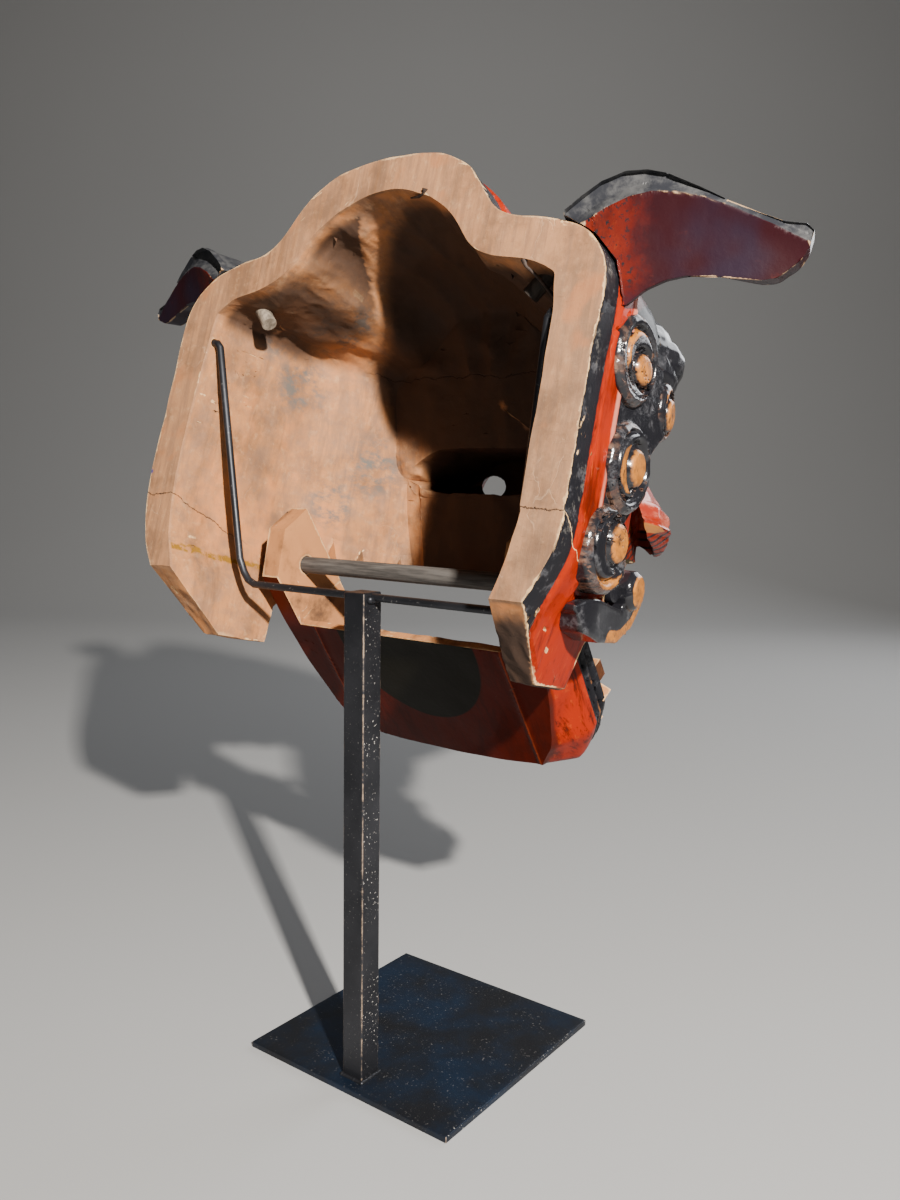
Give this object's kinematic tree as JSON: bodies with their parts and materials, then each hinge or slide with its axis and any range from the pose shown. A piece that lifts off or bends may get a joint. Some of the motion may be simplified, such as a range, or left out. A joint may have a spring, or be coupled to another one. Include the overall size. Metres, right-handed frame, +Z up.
{
  "type": "lion dance head on a stand",
  "caption": "Hollow carved and lacquered wooden lion dance head with a jaw that hangs on a dowel, pegged ears and relief curls, hung on the bent rod of a square steel stand.",
  "frame": {"origin": "middle of the underside of the stand's base plate", "axes": "+Z up, the lion faces -Y, its rear rim opens towards +Y, and +X is on the lion's own left"},
  "size_m": [0.5996, 0.3714, 0.6962],
  "materials": {
    "blackened_steel": "blue-black oxide, satin, worn bright on the corners",
    "carved_wood": "bare tan wood with gouge marks, stains and cracks",
    "red_lacquer": "glossy orange-red lacquer, darkened and worn",
    "black_lacquer": "glossy black lacquer with worn gilding and brown edges",
    "grey_dowel": "grey, dry, bare wood"
  },
  "bodies": {
    "root": {"display_stand": "blackened_steel", "head_shell": "carved_wood", "nose": "red_lacquer", "brow_left": "black_lacquer", "brow_right": "black_lacquer", "curls_left": "black_lacquer", "curls_right": "black_lacquer", "scroll_left": "black_lacquer", "scroll_right": "black_lacquer", "jaw_axle": "grey_dowel"},
    "jaw": {"jaw": "carved_wood"},
    "ear_left": {"ear_left": "red_lacquer"},
    "ear_right": {"ear_right": "red_lacquer"}
  },
  "joints": [
    {"name": "jaw_hinge", "type": "hinge", "parent": "root", "child": "jaw", "pos_m": [0, 0.027, 0.393], "axis": [-1, 0, 0], "range_deg": [0, 30]},
    {"name": "ear_left_turn", "type": "hinge", "parent": "root", "child": "ear_left", "pos_m": [0.1503, 0.0452, 0.6159], "axis": [0.6689, -0.2, 0.7159], "range_deg": [-8, 8]},
    {"name": "ear_right_turn", "type": "hinge", "parent": "root", "child": "ear_right", "pos_m": [-0.1503, 0.0452, 0.6159], "axis": [-0.6689, -0.2, 0.7159], "range_deg": [-8, 8]}
  ]
}
